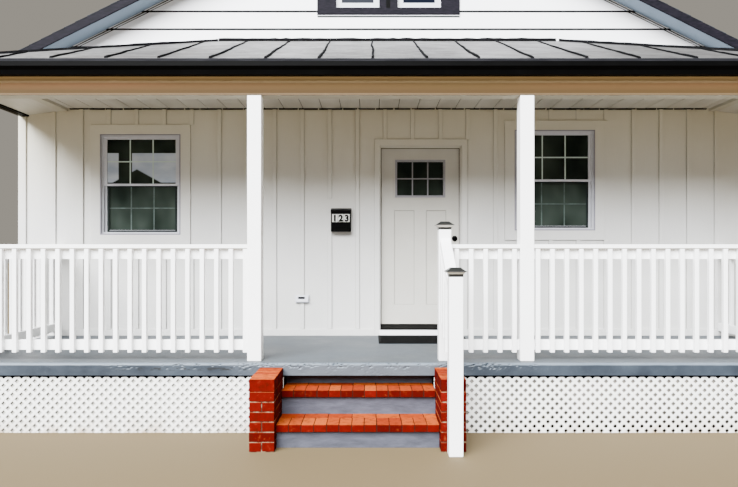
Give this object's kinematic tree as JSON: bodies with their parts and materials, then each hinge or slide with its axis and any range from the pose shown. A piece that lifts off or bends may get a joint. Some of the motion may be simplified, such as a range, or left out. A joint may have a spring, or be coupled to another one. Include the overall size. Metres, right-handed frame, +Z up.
{
  "type": "bungalow",
  "caption": "Small gabled bungalow on a raised foundation, with a railed front porch under a hipped seamed roof, brick-tread steps, lattice skirt, hinged front door and wall mailbox.",
  "frame": {"origin": "on the ground, under the middle of the whole building's box", "axes": "+Z up, +Y from the front porch to the back of the house, +X to the right seen from the front"},
  "size_m": [8.94, 12.308, 5.831],
  "materials": {
    "painted_siding": "satin white paint",
    "white_trim": "semi-gloss white paint",
    "white_vinyl": "satin white vinyl",
    "framing": "planed boards",
    "concrete": "rough grey concrete block",
    "floor_paint": "worn grey floor paint on concrete",
    "shingles": "dark shingles on roof boards",
    "dark_trim": "dark slate paint",
    "soffit_paint": "pale grey-blue paint",
    "roof_metal": "light grey roof paint with standing seams",
    "black_metal": "black enamel",
    "tan_beam": "tan paint",
    "brick": "orange-red brick with pale mortar",
    "door_paint": "satin white paint",
    "glass": "clear window glass",
    "black_rubber": "ribbed rubber mat"
  },
  "bodies": {
    "house": {"foundation": "concrete", "house_floor": "framing", "attic_floor": "framing", "front_wall_left": "painted_siding", "front_wall_right": "painted_siding", "front_wall_over_door": "painted_siding", "left_wall": "painted_siding", "right_wall": "painted_siding", "back_wall": "painted_siding", "front_gable": "painted_siding", "back_gable": "painted_siding", "roof_left": "shingles", "roof_right": "shingles", "ridge_cap": "shingles", "front_rake_boards": "dark_trim", "back_rake_boards": "dark_trim", "eave_boards": "dark_trim", "soffit_boards": "soffit_paint", "corner_boards": "white_trim", "base_boards": "white_trim", "window_trim": "white_trim", "porch_floor": "floor_paint", "block_piers": "concrete", "lattice_left": "white_vinyl", "lattice_right": "white_vinyl", "lattice_sides": "white_vinyl", "step_core": "floor_paint", "step_treads": "brick", "step_piers": "brick", "porch_posts": "white_trim", "porch_rail_front": "white_trim", "porch_rail_sides": "white_trim", "stair_rail": "white_trim", "newel_posts": "white_trim", "newel_caps": "black_metal", "porch_beams": "tan_beam", "porch_fascia": "black_metal", "porch_ceiling": "white_trim", "porch_roof_front": "roof_metal", "porch_roof_sides": "roof_metal", "porch_gutters": "black_metal", "door_frame": "white_trim", "door_sill": "white_trim", "threshold": "black_metal", "window_frames": "white_vinyl", "window_glass": "glass", "gable_window_trim": "dark_trim", "mailbox": "black_metal", "outlet_cover": "white_vinyl", "doormat": "black_rubber"},
    "door_leaf": {"door": "door_paint", "door_glass": "glass", "door_lock": "black_metal"},
    "mail_lid": {"mailbox_lid": "black_metal"}
  },
  "joints": [
    {"name": "front_door_hinge", "type": "hinge", "parent": "house", "child": "door_leaf", "pos_m": [-0.0905, -3.7325, 0.732], "axis": [0, 0, 1], "range_deg": [0, 100]},
    {"name": "mailbox_lid_hinge", "type": "hinge", "parent": "house", "child": "mail_lid", "pos_m": [-0.539, -3.8688, 2.0588], "axis": [-1, 0, 0], "range_deg": [0, 95]}
  ]
}
